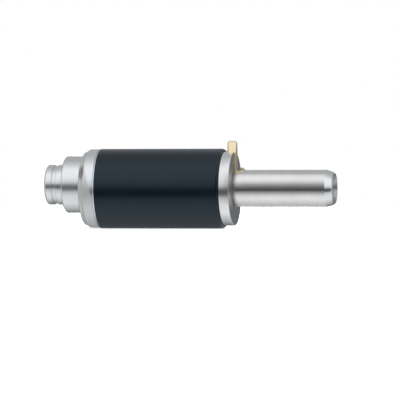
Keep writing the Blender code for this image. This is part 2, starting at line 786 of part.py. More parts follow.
def flat_plate(name, outline, half_width, finish):
    """A plate cut to an (x, z) outline in millimetres and centred on the XZ plane."""
    curve = bpy.data.curves.new(name, "CURVE")
    curve.dimensions = "2D"
    curve.fill_mode = "BOTH"
    curve.extrude = half_width * MM
    spline = curve.splines.new("POLY")
    spline.points.add(len(outline) - 1)
    for point, (x, z) in zip(spline.points, outline):
        point.co = (x * MM, z * MM, 0.0, 1.0)
    spline.use_cyclic_u = True
    helper = bpy.data.objects.new(name + "_outline", curve)
    CUTTERS.objects.link(helper)
    bpy.context.view_layer.update()
    graph = bpy.context.evaluated_depsgraph_get()
    mesh = bpy.data.meshes.new_from_object(helper.evaluated_get(graph))
    bpy.data.objects.remove(helper, do_unlink=True)
    bm = bmesh.new()
    bm.from_mesh(mesh)
    bmesh.ops.remove_doubles(bm, verts=bm.verts, dist=1e-6)
    bmesh.ops.recalc_face_normals(bm, faces=bm.faces)
    bm.to_mesh(mesh)
    bm.free()
    mesh.transform(Matrix.Rotation(math.pi / 2, 4, "X"))
    return add_part(name, mesh, finish)


def make_coupling_key(key_axis):
    """Outer push block, bar down the cap's face, and a foot that ends in a locking nub on the tube."""
    block_x = -1.85
    block_bottom_z = 8.95
    bevel = 0.4
    foot_top_z = 4.45
    foot_bottom_z = 4.0
    nub_x = (1.6, 1.95, 2.5)
    nub_top_z = 5.25
    nub_end_z = 4.6
    bar_x = -0.8
    outline = [
        (block_x, block_bottom_z),
        (bar_x, block_bottom_z),
        (bar_x, foot_bottom_z),
        (nub_x[2], foot_bottom_z),
        (nub_x[2], nub_end_z),
        (nub_x[1], nub_top_z),
        (nub_x[0], nub_top_z),
        (nub_x[0], foot_top_z),
        (KEY_FRONT_X, foot_top_z),
        (KEY_FRONT_X, KEY_TOP_Z - bevel),
        (KEY_FRONT_X - bevel, KEY_TOP_Z),
        (block_x + bevel, KEY_TOP_Z),
        (block_x, KEY_TOP_Z - bevel),
    ]
    key = flat_plate("coupling_key", outline, KEY_HALF_WIDTH, "gold")
    key.parent = key_axis
    half_slot = 0.26
    low = (KEY_PIN_X - half_slot, -3.0, KEY_PIN_Z - half_slot)
    high = (KEY_PIN_X + half_slot, 3.0, KEY_PIN_Z + KEY_TRAVEL + half_slot)
    cut_boxes(key, "key_pin_slot", [(low, high)])
    start = (KEY_PIN_X, -2.4, KEY_PIN_Z)
    end = (KEY_PIN_X, 2.4, KEY_PIN_Z)
    add_part("key_guide_pin", cylinders_mesh("key_guide_pin", [(start, end, 0.18)], 12), "bearing_steel")


def make_key_spring():
    """The small coil spring that pushes the key back out."""
    coil_r = 0.28
    wire_r = 0.06
    turns = 6
    points_per_turn = 8
    bottom_z = 5.75
    top_z = 8.8
    count = turns * points_per_turn + 1
    curve = bpy.data.curves.new("key_spring", "CURVE")
    curve.dimensions = "3D"
    curve.bevel_depth = wire_r * MM
    curve.bevel_resolution = 1
    curve.use_fill_caps = True
    spline = curve.splines.new("POLY")
    spline.points.add(count - 1)
    for index, point in enumerate(spline.points):
        angle = 2 * math.pi * index / points_per_turn
        x = KEY_SPRING_X + coil_r * math.cos(angle)
        y = coil_r * math.sin(angle)
        z = bottom_z + (top_z - bottom_z) * index / (count - 1)
        point.co = (x * MM, y * MM, z * MM, 1.0)
    obj = bpy.data.objects.new("key_spring", curve)
    curve.materials.append(finish_material("key_spring", "bearing_steel"))
    PARTS.objects.link(obj)


def add_axis(name):
    """An empty on the body's axis that a moving group hangs from."""
    empty = bpy.data.objects.new(name, None)
    PARTS.objects.link(empty)
    return empty


def main():
    make_hose_spigot()
    make_air_supply_nozzle()
    make_hose_collar()
    make_rear_cap()
    make_air_distributor()
    make_exhaust_silencer()
    make_motor_casing()
    make_grip_sleeve()
    make_front_cap()
    make_nose_tube()
    make_nose_retaining_ring()

    spin_axis = add_axis("rotor_spin_axis")
    make_air_cylinder(make_end_plates())
    make_drive_coupling(spin_axis, make_rotor(spin_axis))
    make_bearing("rear", REAR_BEARING_X, spin_axis, add_axis("rear_cage_axis"))
    make_bearing("front", FRONT_BEARING_X, spin_axis, add_axis("front_cage_axis"))
    make_rotor_lock_nut(spin_axis)
    make_bearing_spacer(spin_axis)
    make_preload_washer()

    make_coupling_key(add_axis("key_press_axis"))
    make_key_spring()


main()
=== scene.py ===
"""Looks of the dental air motor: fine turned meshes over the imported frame, finishes, studio and camera.

The motor lies along X with its nose towards +X. Profiles are in millimetres, as (x, r) points about an axis
parallel to X; MM turns them into metres. Sizes that the frame knows are read from it.
"""
import json
import math

import bmesh
import bpy
from mathutils import Matrix, Vector


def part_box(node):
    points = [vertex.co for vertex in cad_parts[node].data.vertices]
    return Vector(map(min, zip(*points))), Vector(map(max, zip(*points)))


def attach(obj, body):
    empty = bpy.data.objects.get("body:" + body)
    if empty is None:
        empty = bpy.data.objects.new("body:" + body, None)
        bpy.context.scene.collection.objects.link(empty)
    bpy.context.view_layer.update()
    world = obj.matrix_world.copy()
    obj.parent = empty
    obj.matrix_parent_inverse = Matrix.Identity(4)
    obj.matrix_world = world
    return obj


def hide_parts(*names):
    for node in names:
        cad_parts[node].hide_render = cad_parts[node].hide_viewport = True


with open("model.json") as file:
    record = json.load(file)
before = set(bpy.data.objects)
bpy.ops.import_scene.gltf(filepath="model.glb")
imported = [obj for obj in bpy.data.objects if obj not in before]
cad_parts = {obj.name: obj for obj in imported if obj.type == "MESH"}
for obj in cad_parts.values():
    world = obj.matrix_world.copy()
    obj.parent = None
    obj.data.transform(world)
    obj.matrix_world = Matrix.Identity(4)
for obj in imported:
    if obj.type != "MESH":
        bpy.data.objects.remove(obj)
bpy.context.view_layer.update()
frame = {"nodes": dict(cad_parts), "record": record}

MM = 0.001

# Steps round a turned piece, a small turned piece and a fillet
TURN_STEPS = 160
SMALL_STEPS = 96
ARC_STEPS = 4

# Sizes that several pieces share, in millimetres. The ring's face is at x = 0.
TUBE_R = 4.65
TUBE_BORE_R = 3.1
TUBE_RELIEF_X = (-0.2, 0.4)
TUBE_RELIEF_R = 4.25
TUBE_MOUTH_R = 3.45
TUBE_MOUTH_DEPTH = 1.6
CAP_NECK_R = 8.0
STEM_R = 4.0
COLLAR_STEM_R = 5.4
KEY_SLOT_HALF = 1.3
KEY_FRONT = 0.42
KEY_PIN = (-0.35, 7.0)
KEY_TRAVEL = 0.7
KEY_BLOCK_BOTTOM = 8.95
KEY_BAR_REAR = -0.8
KEY_SPRING_X = -1.5
KEY_DRAFT = math.tan(math.radians(12))


# ---- Places read from the frame ----


class Turned:
    """The ends, radius and axis height of a turned node, in millimetres."""

    def __init__(self, node):
        low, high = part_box(node)
        self.rear = low.x / MM
        self.front = high.x / MM
        self.radius = (high.z - low.z) / 2 / MM
        self.axis_z = (high.z + low.z) / 2 / MM


SPIGOT = Turned("hose_spigot")
COLLAR = Turned("hose_collar")
CAP = Turned("rear_cap")
SLEEVE = Turned("grip_sleeve")
RING = Turned("front_cap")
TUBE = Turned("nose_tube")
DOG = Turned("drive_coupling")
NOZZLE = Turned("air_supply_nozzle")
KEY_LOW, KEY_HIGH = [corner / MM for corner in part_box("coupling_key")]


# ---- Material nodes ----


def add_nodes(tree):
    """Returns a function that adds a node to the tree, with its settings and plain or linked inputs."""

    def add(kind, inputs=None, **settings):
        node = tree.nodes.new(kind)
        for key, value in settings.items():
            setattr(node, key, value)
        for key, value in (inputs or {}).items():
            if isinstance(value, bpy.types.NodeSocket):
                tree.links.new(value, node.inputs[key])
            else:
                node.inputs[key].default_value = value
        return node

    return add


def set_ramp(node, stops):
    """Fills a colour ramp from (position, value or colour) stops."""
    ramp = node.color_ramp
    ramp.interpolation = "LINEAR"
    while len(ramp.elements) < len(stops):
        ramp.elements.new(0.5)
    for element, (position, value) in zip(ramp.elements, stops):
        colour = (value, value, value) if isinstance(value, (int, float)) else value
        element.position = position
        element.color = (*colour, 1.0)


def new_material(name):
    """A new material, its shader, and a function that adds nodes to its tree."""
    material = bpy.data.materials.new(name)
    material.use_nodes = True
    return material, material.node_tree.nodes["Principled BSDF"], add_nodes(material.node_tree)


def math_node(add, operation, first, second=0.0):
    return add("ShaderNodeMath", {0: first, 1: second}, operation=operation).outputs[0]


def mixed(add, factor, first, second):
    return add(
        "ShaderNodeMix",
        {"Factor": factor, "A": first, "B": second},
        data_type="RGBA",
    ).outputs["Result"]


def noise(add, vector, scale, detail=2.0, roughness=0.5):
    return add(
        "ShaderNodeTexNoise",
        {"Vector": vector, "Scale": scale, "Detail": detail, "Roughness": roughness},
    ).outputs["Fac"]


def spread(add, value, low, high, from_low=0.3, from_high=0.7):
    """Maps a noise value onto low..high."""
    return add(
        "ShaderNodeMapRange",
        {"Value": value, "From Min": from_low, "From Max": from_high, "To Min": low, "To Max": high},
    ).outputs["Result"]


def below(add, value, limit, edge=0.03):
    """1 where the value is under the limit and 0 over it, with the limit and its soft edge in mm."""
    return add(
        "ShaderNodeMapRange",
        {"Value": value, "From Min": (limit + edge) * MM, "From Max": (limit - edge) * MM},
    ).outputs["Result"]


def ring_coordinates(add):
    """Object coordinates, their axes, and the point (distance along the axis, distance from it, 0)."""
    position = add("ShaderNodeTexCoord").outputs["Object"]
    axes = add("ShaderNodeSeparateXYZ", {"Vector": position}).outputs
    across = add("ShaderNodeCombineXYZ", {"X": axes["Y"], "Y": axes["Z"]}).outputs["Vector"]
    radius = add("ShaderNodeVectorMath", {0: across}, operation="LENGTH").outputs["Value"]
    rings = add("ShaderNodeCombineXYZ", {"X": axes["X"], "Y": radius}).outputs["Vector"]
    return position, axes, rings


def shade(colour, factor):
    """The colour made darker or lighter, with an alpha of 1."""
    return tuple(channel * factor for channel in colour) + (1.0,)


# ---- Finishes ----


def tube_painted_shade_zone(add, along, radius):
    """Where shade is painted on the tube as a darker tone, and the metal made duller: its bore, its end
    face and the relief at its root.
    """
    end_face_r = TUBE_MOUTH_R + 0.45
    bore = below(add, radius, end_face_r)
    under_surface = below(add, radius, TUBE_R - 0.08)
    at_root = below(add, along, TUBE_RELIEF_X[1] + 0.02)
    return math_node(add, "MAXIMUM", bore, math_node(add, "MULTIPLY", under_surface, at_root))


def ring_face_painted_shade(add, along, radius):
    """The ring's face, which is all there is of the ring ahead of this plane: shade is painted on it as a
    darker tone, and it is made duller.
    """
    behind_face = -0.05
    return math_node(add, "SUBTRACT", 1.0, below(add, along, behind_face))


def turned_metal(
    name, colour, roughness, mark_scale, mark_depth,
    wear=0.05, anisotropy=0.35, painted_shade_zone=None,
):
    """Bare metal off a lathe: fine marks round the axis, slow changes of tone, and faint scuffs.

    The last argument is a function of (add, distance along the axis, distance from it) that says, from 0 to
    1, where shade is painted in as a darker tone and where the metal is made duller.
    """
    material, shader, add = new_material(name)
    position, _, rings = ring_coordinates(add)
    marks = noise(add, rings, mark_scale, 3.0, 0.65)
    cloud = noise(add, position, 220.0, 3.0)
    scuffs = noise(add, position, 2600.0, 4.0, 0.7)
    tone = mixed(add, spread(add, cloud, 0.0, 1.0), shade(colour, 0.94), shade(colour, 1.04))
    tone = mixed(add, spread(add, marks, 0.0, 0.35), tone, shade(colour, 0.86))
    mark_dull = spread(add, marks, roughness - 0.04, roughness + 0.05)
    dull = math_node(add, "ADD", mark_dull, spread(add, scuffs, -wear / 2, wear))
    if painted_shade_zone:
        ring_axes = add("ShaderNodeSeparateXYZ", {"Vector": rings}).outputs
        inside = painted_shade_zone(add, ring_axes["X"], ring_axes["Y"])
        # Painted shade: a darker tone in the zone, with more roughness.
        tone = mixed(add, inside, tone, shade(colour, 0.55))
        dull = math_node(add, "ADD", dull, math_node(add, "MULTIPLY", inside, 0.2))
    links = material.node_tree.links
    links.new(tone, shader.inputs["Base Color"])
    links.new(dull, shader.inputs["Roughness"])
    shader.inputs["Metallic"].default_value = 1.0
    shader.inputs["Anisotropic"].default_value = anisotropy
    tangent = add("ShaderNodeTangent", direction_type="RADIAL", axis="X").outputs["Tangent"]
    links.new(tangent, shader.inputs["Tangent"])
    bump = add("ShaderNodeBump", {"Height": marks, "Strength": 0.35, "Distance": mark_depth * MM})
    links.new(bump.outputs["Normal"], shader.inputs["Normal"])
    return material


# A painted dark reflection on the flange: its centre and half widths in millimetres
DARK_REFLECTION_AT = (-37.7, -8.5, 4.0)
DARK_REFLECTION_REACH = (1.05, 3.0, 2.4)


def painted_dark_reflection(add, position):
    """How strongly the painted dark reflection darkens the flange, from 0 to almost 1: an oval patch with a
    soft edge.
    """
    offset = add(
        "ShaderNodeVectorMath",
        {0: position, 1: [value * MM for value in DARK_REFLECTION_AT]},
        operation="SUBTRACT",
    ).outputs["Vector"]
    offset = add(
        "ShaderNodeVectorMath",
        {0: offset, 1: [value * MM for value in DARK_REFLECTION_REACH]},
        operation="DIVIDE",
    ).outputs["Vector"]
    away = add("ShaderNodeVectorMath", {0: offset}, operation="LENGTH").outputs["Value"]
    return add(
        "ShaderNodeMapRange",
        {"Value": away, "From Min": 1.05, "From Max": 0.35, "To Max": 0.92},
        interpolation_type="SMOOTHSTEP",
    ).outputs["Result"]


def zoned_steel(name, polished, satin_and_shade, slope, border):
    """Steel with a rougher zone behind a polished one, the rough zone darkened with painted shade, and a
    painted dark reflection.

    Each zone is a (colour, roughness) pair. Their border slants: it lies at x = border where z is 0, and
    slope is how far it moves back for each millimetre up.
    """
    material, shader, add = new_material(name)
    links = material.node_tree.links
    position, axes, rings = ring_coordinates(add)
    lean = math_node(add, "ADD", axes["X"], math_node(add, "MULTIPLY", axes["Z"], slope))
    zone = add(
        "ShaderNodeMapRange",
        {"Value": lean, "From Min": (border - 0.25) * MM, "From Max": (border + 0.25) * MM},
        interpolation_type="SMOOTHSTEP",
    ).outputs["Result"]
    marks = noise(add, rings, 9000.0, 3.0, 0.65)
    cloud = noise(add, position, 220.0, 3.0)
    # Painted shade: the rear zone takes a darker tone than the polished one, up to the slanted border.
    tone = mixed(add, zone, (*satin_and_shade[0], 1.0), (*polished[0], 1.0))
    tone = mixed(add, spread(add, cloud, 0.0, 0.25), tone, shade(satin_and_shade[0], 0.8))
    # Painted dark reflection: an oval on the flange darkened to about a third of the rear zone's tone.
    tone = mixed(add, painted_dark_reflection(add, position), tone, shade(satin_and_shade[0], 0.36))
    links.new(tone, shader.inputs["Base Color"])
    base = add(
        "ShaderNodeMapRange",
        {"Value": zone, "To Min": satin_and_shade[1], "To Max": polished[1]},
    ).outputs["Result"]
    dull = math_node(add, "ADD", base, spread(add, marks, -0.04, 0.05))
    links.new(dull, shader.inputs["Roughness"])
    shader.inputs["Metallic"].default_value = 1.0
    bump = add("ShaderNodeBump", {"Height": marks, "Strength": 0.35, "Distance": 0.004 * MM})
    links.new(bump.outputs["Normal"], shader.inputs["Normal"])
    return material


def anodised_sleeve(name):
    """Blue-black anodising over fine blasting, with bare metal on the narrow chamfer at the rear edge."""
    material, shader, add = new_material(name)
    links = material.node_tree.links
    position, axes, _ = ring_coordinates(add)
    grain = noise(add, position, 9000.0, 2.0)
    cloud = noise(add, position, 120.0, 3.0)
    dark_dye = (0.0012, 0.0045, 0.0098, 1.0)
    pale_dye = (0.0020, 0.0062, 0.0125, 1.0)
    dye = mixed(add, spread(add, cloud, 0.0, 1.0), dark_dye, pale_dye)
    dye = mixed(add, spread(add, grain, 0.0, 0.2), dye, (0.003, 0.008, 0.015, 1.0))
    waver = math_node(add, "SUBTRACT", noise(add, position, 900.0), 0.5)
    edge = math_node(add, "ADD", axes["X"], math_node(add, "MULTIPLY", waver, 0.04 * MM))
    bare = below(add, edge, SLEEVE.rear + 0.33, 0.02)
    links.new(mixed(add, bare, dye, (0.84, 0.88, 0.94, 1.0)), shader.inputs["Base Color"])
    links.new(bare, shader.inputs["Metallic"])
    dull = math_node(add, "ADD", spread(add, grain, 0.20, 0.27), spread(add, cloud, -0.02, 0.03))
    links.new(dull, shader.inputs["Roughness"])
    shader.inputs["IOR"].default_value = 1.48
    shader.inputs["Specular Tint"].default_value = (0.72, 0.87, 1.0, 1.0)
    bump = add("ShaderNodeBump", {"Height": grain, "Strength": 0.12, "Distance": 0.004 * MM})
    links.new(bump.outputs["Normal"], shader.inputs["Normal"])
    return material


def gold_coating(name):
    """Pale gold nitride over milled steel."""
    material, shader, add = new_material(name)
    links = material.node_tree.links
    position = add("ShaderNodeTexCoord").outputs["Object"]
    stretched = add(
        "ShaderNodeMapping",
        {"Vector": position, "Scale": (1.0, 0.15, 0.15)},
    ).outputs["Vector"]
    lines = noise(add, stretched, 16000.0, 2.0)
    cloud = noise(add, position, 500.0, 2.0)
    tone = mixed(add, spread(add, cloud, 0.0, 1.0), (1.0, 0.80, 0.51, 1.0), (1.0, 0.86, 0.58, 1.0))
    links.new(tone, shader.inputs["Base Color"])
    links.new(spread(add, lines, 0.26, 0.38), shader.inputs["Roughness"])
    shader.inputs["Metallic"].default_value = 1.0
    bump = add("ShaderNodeBump", {"Height": lines, "Strength": 0.2, "Distance": 0.002 * MM})
    links.new(bump.outputs["Normal"], shader.inputs["Normal"])
    return material


def grainy(name, colours, roughness, scale, depth, metallic=0.0):
    """A matt material with an open grain, such as rubber or sintered bronze."""
    material, shader, add = new_material(name)
    links = material.node_tree.links
    position = add("ShaderNodeTexCoord").outputs["Object"]
    grain = noise(add, position, scale, 3.0, 0.6)
    pores = add("ShaderNodeTexVoronoi", {"Vector": position, "Scale": scale / 2}).outputs["Distance"]
    tone = mixed(add, spread(add, grain, 0.0, 1.0), (*colours[0], 1.0), (*colours[1], 1.0))
    links.new(tone, shader.inputs["Base Color"])
    links.new(spread(add, grain, roughness - 0.08, roughness + 0.08), shader.inputs["Roughness"])
    shader.inputs["Metallic"].default_value = metallic
    bump = add("ShaderNodeBump", {"Height": pores, "Strength": 0.5, "Distance": depth * MM})
    links.new(bump.outputs["Normal"], shader.inputs["Normal"])
    return material


def laminate(name):
    """Cotton cloth in brown resin: two crossed sets of threads."""
    material, shader, add = new_material(name)
    links = material.node_tree.links
    position = add("ShaderNodeTexCoord").outputs["Object"]
    wave = {"Vector": position, "Scale": 900.0, "Distortion": 0.6}
    warp = add("ShaderNodeTexWave", wave, bands_direction="X").outputs["Fac"]
    weft = add("ShaderNodeTexWave", wave, bands_direction="Z").outputs["Fac"]
    weave = math_node(add, "MULTIPLY", warp, weft)
    tone = mixed(add, weave, (0.20, 0.095, 0.035, 1.0), (0.42, 0.24, 0.11, 1.0))
    links.new(tone, shader.inputs["Base Color"])
    links.new(spread(add, weave, 0.62, 0.45, 0.0, 1.0), shader.inputs["Roughness"])
    bump = add("ShaderNodeBump", {"Height": weave, "Strength": 0.3, "Distance": 0.01 * MM})
    links.new(bump.outputs["Normal"], shader.inputs["Normal"])
    return material


def make_finishes():
    """Every finish by name. A turned metal's numbers are its roughness, mark scale and mark depth in mm."""
    polished = (0.80, 0.80, 0.80)
    # The flange's rear zone: a darker tone that is painted shade, over a rougher finish.
    satin_and_shade = (0.70, 0.70, 0.695)
    bronze_tones = ((0.36, 0.20, 0.09), (0.62, 0.40, 0.20))
    rubber_tones = ((0.010, 0.010, 0.010), (0.022, 0.022, 0.023))
    return {
        "polished_steel": turned_metal(
            "polished_steel", polished, 0.18, 9000.0, 0.002,
            wear=0.03, anisotropy=0.0, painted_shade_zone=ring_face_painted_shade,
        ),
        "tube_steel": turned_metal(
            "tube_steel", polished, 0.14, 9000.0, 0.002,
            wear=0.03, anisotropy=0.0, painted_shade_zone=tube_painted_shade_zone,
        ),
        "satin_steel": turned_metal("satin_steel", (0.78, 0.78, 0.775), 0.20, 7000.0, 0.004),
        "flange_steel": zoned_steel(
            "flange_steel", (polished, 0.28), (satin_and_shade, 0.52), slope=0.28, border=-35.4,
        ),
        "black_anodised": anodised_sleeve("black_anodised"),
        "gold": gold_coating("gold"),
        "bearing_steel": turned_metal("bearing_steel", (0.60, 0.61, 0.63), 0.14, 14000.0, 0.001),
        "aluminium": turned_metal("aluminium", (0.72, 0.73, 0.74), 0.30, 5000.0, 0.006),
        "bronze": grainy("bronze", bronze_tones, 0.6, 4000.0, 0.05, 1.0),
        "rubber": grainy("rubber", rubber_tones, 0.6, 6000.0, 0.01),
        "vane_laminate": laminate("vane_laminate"),
    }


# ---- Meshes ----


def rounded(points):
    """Replaces each corner (x, r, fillet) of a closed outline by an arc; a fillet of 0 stays sharp."""
    outline = []
    count = len(points)
    for index, point in enumerate(points):
        corner = Vector(point[:2])
        fillet = point[2]
        before = Vector(points[index - 1][:2]) - corner
        after = Vector(points[(index + 1) % count][:2]) - corner
        if fillet == 0.0:
            outline.append(tuple(corner))
            continue
        half = before.angle(after) / 2
        back = fillet / math.tan(half)
        bisector = (before.normalized() + after.normalized()).normalized()
        centre = corner + bisector * fillet / math.sin(half)
        start = corner + before.normalized() * back - centre
        end = corner + after.normalized() * back - centre
        sweep = math.atan2(start.x * end.y - start.y * end.x, start.dot(end))
        for step in range(ARC_STEPS + 1):
            turn = sweep * step / ARC_STEPS
            x = start.x * math.cos(turn) - start.y * math.sin(turn)
            y = start.x * math.sin(turn) + start.y * math.cos(turn)
            outline.append((centre.x + x, centre.y + y))
    return outline


def rim(x, r, depth, height, steps=8):
    """A soft quarter-round from (x, r - height) to (x + depth, r)."""
    for step in range(steps + 1):
        turn = math.pi / 2 * step / steps
        yield x + depth * (1 - math.cos(turn)), r - height * (1 - math.sin(turn))


def finish_mesh(obj, bevel=0.0):
    """Smooth faces, crisp corners, and even shading on the large faces."""
    obj.data.shade_smooth()
    obj.data.set_sharp_from_angle(angle=math.radians(35))
    if bevel:
        soften = obj.modifiers.new("soft_edges", "BEVEL")
        soften.width = bevel * MM
        soften.segments = 2
        soften.limit_method = "ANGLE"
        soften.angle_limit = math.radians(40)
    normals = obj.modifiers.new("even_shading", "WEIGHTED_NORMAL")
    normals.keep_sharp = True
    return obj


def new_object(name, bm, material):
    mesh = bpy.data.meshes.new(name)
    bm.to_mesh(mesh)
    bm.free()
    mesh.materials.append(material)
    obj = bpy.data.objects.new(name, mesh)
    bpy.context.scene.collection.objects.link(obj)
    return obj


def lathe(name, outline, material, axis_z=0.0, steps=TURN_STEPS):
    """A turned piece from a closed outline of (x, r) points."""
    bm = bmesh.new()
    points = [bm.verts.new((x * MM, 0.0, r * MM)) for x, r in outline]
    edges = [bm.edges.new((points[index - 1], point)) for index, point in enumerate(points)]
    bmesh.ops.spin(
        bm,
        geom=points + edges,
        cent=(0.0, 0.0, 0.0),
        axis=(1.0, 0.0, 0.0),
        angle=2 * math.pi,
        steps=steps,
        use_merge=True,
    )
    bmesh.ops.remove_doubles(bm, verts=bm.verts, dist=1e-7)
    bmesh.ops.recalc_face_normals(bm, faces=bm.faces)
    obj = new_object(name, bm, material)
    obj.location.z = axis_z * MM
    return obj


def cut(obj, name, shapes):
    """Cuts boxes, as (low, high) corners, and cylinders, as (start, end, radius), all in millimetres."""
    bm = bmesh.new()
    for shape in shapes:
        first = Vector(shape[0]) * MM
        second = Vector(shape[1]) * MM
        place = Matrix.Translation((first + second) / 2)
        if len(shape) == 2:
            size = Matrix.Diagonal((*(second - first), 1.0))
            bmesh.ops.create_cube(bm, size=1.0, matrix=place @ size)
            continue
        along = second - first
        turn = along.to_track_quat("Z", "Y").to_matrix().to_4x4()
        bmesh.ops.create_cone(
            bm,
            cap_ends=True,
            segments=32,
            radius1=shape[2] * MM,
            radius2=shape[2] * MM,
            depth=along.length,
            matrix=place @ turn,
        )
    mesh = bpy.data.meshes.new(name)
    bm.to_mesh(mesh)
    bm.free()
    cutter = bpy.data.objects.new(name, mesh)
    bpy.context.scene.collection.objects.link(cutter)
    modifier = obj.modifiers.new(name, "BOOLEAN")
    modifier.operation = "DIFFERENCE"
    modifier.object = cutter
    bpy.context.view_layer.update()
    graph = bpy.context.evaluated_depsgraph_get()
    baked = bpy.data.meshes.new_from_object(obj.evaluated_get(graph))
    obj.modifiers.clear()
    obj.data = baked
    bpy.data.objects.remove(cutter, do_unlink=True)


# ---- Camera: a long lens, level, turned a little towards the nose ----


CAMERA_TURN = math.radians(11.2)


def make_camera():
    distance = 0.844
    aim = Vector((-8.96, 0.0, -2.88)) * MM
    data = bpy.data.cameras.new("camera")
    data.lens = 302.5
    data.sensor_width = 36
    camera = bpy.data.objects.new("camera", data)
    camera.location = aim + distance * Vector((math.sin(CAMERA_TURN), -math.cos(CAMERA_TURN), 0.0))
    camera.rotation_euler = (math.pi / 2, 0.0, CAMERA_TURN)
    bpy.context.scene.collection.objects.link(camera)
    bpy.context.scene.camera = camera


# ---- Studio ----


# The studio light's colour, and its level by the angle above the front horizon in degrees; 180 is behind
COOL = (0.965, 1.0, 1.03)
STUDIO_LIGHT = [
    (-180, 0.2),
    (-150, 0.2),
    (-110, 0.6),
    (-80, 0.95),
    (-50, 0.9),
    (-30, 0.65),
    (-20, 0.1),
    (-5, 0.1),
    (10, 0.8),
    (30, 1.05),
    (65, 1.1),
    (90, 0.7),
    (115, 0.5),
    (150, 0.5),
    (180, 0.2),
]


def make_world():
    """Broad soft light from above and below, a dim gap between them in front, and grey at the two ends."""
    world = bpy.data.worlds.new("studio")
    bpy.context.scene.world = world
    world.use_nodes = True
    tree = world.node_tree
    add = add_nodes(tree)
    direction = add("ShaderNodeTexCoord").outputs["Generated"]
    axes = add("ShaderNodeSeparateXYZ", {"Vector": direction}).outputs
    ahead = math_node(add, "MULTIPLY", axes["Y"], -1.0)
    angle = math_node(add, "ARCTAN2", axes["Z"], ahead)
    share = add(
        "ShaderNodeMapRange",
        {"Value": angle, "From Min": -math.pi, "From Max": math.pi},
    ).outputs["Result"]
    bands = add("ShaderNodeValToRGB", {"Fac": share})
    stops = [
        ((degrees + 180) / 360, [level * channel for channel in COOL])
        for degrees, level in STUDIO_LIGHT
    ]
    set_ramp(bands, stops)
    sideways = math_node(add, "ABSOLUTE", axes["X"])
    side_share = add(
        "ShaderNodeMapRange",
        {"Value": sideways, "From Min": 0.75, "From Max": 0.98, "To Max": 0.75},
        interpolation_type="SMOOTHSTEP",
    ).outputs["Result"]
    grey_ends = (0.5, 0.5, 0.5, 1.0)
    studio = mixed(add, side_share, bands.outputs["Color"], grey_ends)
    background = tree.nodes["Background"]
    tree.links.new(studio, background.inputs["Color"])
    background.inputs["Strength"].default_value = 1.0


def camera_only(obj):
    """Keeps a stage piece out of the metal's reflections and its bounce light."""
    obj.visible_glossy = False
    obj.visible_diffuse = False
    obj.visible_shadow = False
    obj.visible_transmission = False
    return obj


def flat_material(name, colour, glow):
    """A matt material that gives off some white light of its own."""
    material = bpy.data.materials.new(name)
    material.use_nodes = True
    shader = material.node_tree.nodes["Principled BSDF"]
    shader.inputs["Base Color"].default_value = (*colour, 1.0)
    shader.inputs["Roughness"].default_value = 0.9
    shader.inputs["Specular IOR Level"].default_value = 0.0
    shader.inputs["Emission Color"].default_value = (1.0, 1.0, 1.0, 1.0)
    shader.inputs["Emission Strength"].default_value = glow
    return material


def make_stage():
    """A pale floor just under the sleeve and a white wall far off all round."""
    gap = 0.02 * MM
    reach = 3.0
    bm = bmesh.new()
    bmesh.ops.create_grid(bm, x_segments=1, y_segments=1, size=reach)
    floor = new_object("floor", bm, flat_material("floor_white", (0.93, 0.93, 0.93), 0.3))
    floor.location.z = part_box("grip_sleeve")[0].z - gap

    bm = bmesh.new()
    bmesh.ops.create_uvsphere(bm, u_segments=48, v_segments=24, radius=reach)
    wall = new_object("wall", bm, flat_material("wall_white", (0.0, 0.0, 0.0), 1.0))
    camera_only(floor)
    camera_only(wall)


# The light of the graduated card round the nose, by the angle above the front horizon in degrees
CARD_LIGHT = [
    (-150, 0.6),
    (-110, 0.6),
    (-65, 0.95),
    (-45, 0.85),
    (-25, 0.4),
    (-10, 0.05),
    (5, 0.15),
    (20, 0.35),
    (45, 0.9),
    (60, 1.0),
    (80, 0.9),
    (100, 0.5),
    (130, 0.5),
]


def make_nose_card():
    """A graduated card bent round the nose, as a light tent's wall, for the tube to mirror."""
    radius = 30.0
    starts_at = 0.55
    overhang = 2.0
    # The camera stands off square, so the part of the card that the tube mirrors lies this far behind it
    shift = math.tan(CAMERA_TURN) * (radius - TUBE_R)
    ends_x = (starts_at - shift, TUBE.front + overhang - shift)
    low = math.radians(CARD_LIGHT[0][0])
    high = math.radians(CARD_LIGHT[-1][0])
    rows = 96
    bm = bmesh.new()
    previous = None
    for row in range(rows + 1):
        angle = low + (high - low) * row / rows
        y = -radius * math.cos(angle)
        z = radius * math.sin(angle)
        edge = [bm.verts.new((x * MM, y * MM, z * MM)) for x in ends_x]
        if previous:
            bm.faces.new((previous[0], previous[1], edge[1], edge[0]))
        previous = edge
    material = bpy.data.materials.new("graduated_card")
    material.use_nodes = True
    add = add_nodes(material.node_tree)
    axes = add("ShaderNodeSeparateXYZ", {"Vector": add("ShaderNodeTexCoord").outputs["Object"]}).outputs
    angle = math_node(add, "ARCTAN2", axes["Z"], math_node(add, "MULTIPLY", axes["Y"], -1.0))
    share = add("ShaderNodeMapRange", {"Value": angle, "From Min": low, "From Max": high}).outputs["Result"]
    bands = add("ShaderNodeValToRGB", {"Fac": share})
    stops = [((math.radians(degrees) - low) / (high - low), level) for degrees, level in CARD_LIGHT]
    set_ramp(bands, stops)
    glow = add("ShaderNodeEmission", {"Color": bands.outputs["Color"], "Strength": 1.0}).outputs["Emission"]
    output = material.node_tree.nodes["Material Output"]
    material.node_tree.links.new(glow, output.inputs["Surface"])
    card = new_object("nose_card", bm, material)
    card.visible_camera = False
    card.visible_diffuse = False
    card.visible_shadow = False


def make_rear_lamp():
    """A soft lamp behind the motor, which lays its shadow on the floor towards the camera."""
    data = bpy.data.lights.new("rear_lamp", "AREA")
    data.shape = "RECTANGLE"
    data.size = 1.2
    data.size_y = 0.6
    data.energy = 90.0
    lamp = bpy.data.objects.new("rear_lamp", data)
    lamp.location = (-0.02, 2.6, 1.05)
    lamp.rotation_euler = (-lamp.location).to_track_quat("-Z", "Y").to_euler()
    lamp.visible_glossy = False
    lamp.visible_camera = False
    bpy.context.scene.collection.objects.link(lamp)


# ---- Pieces ----


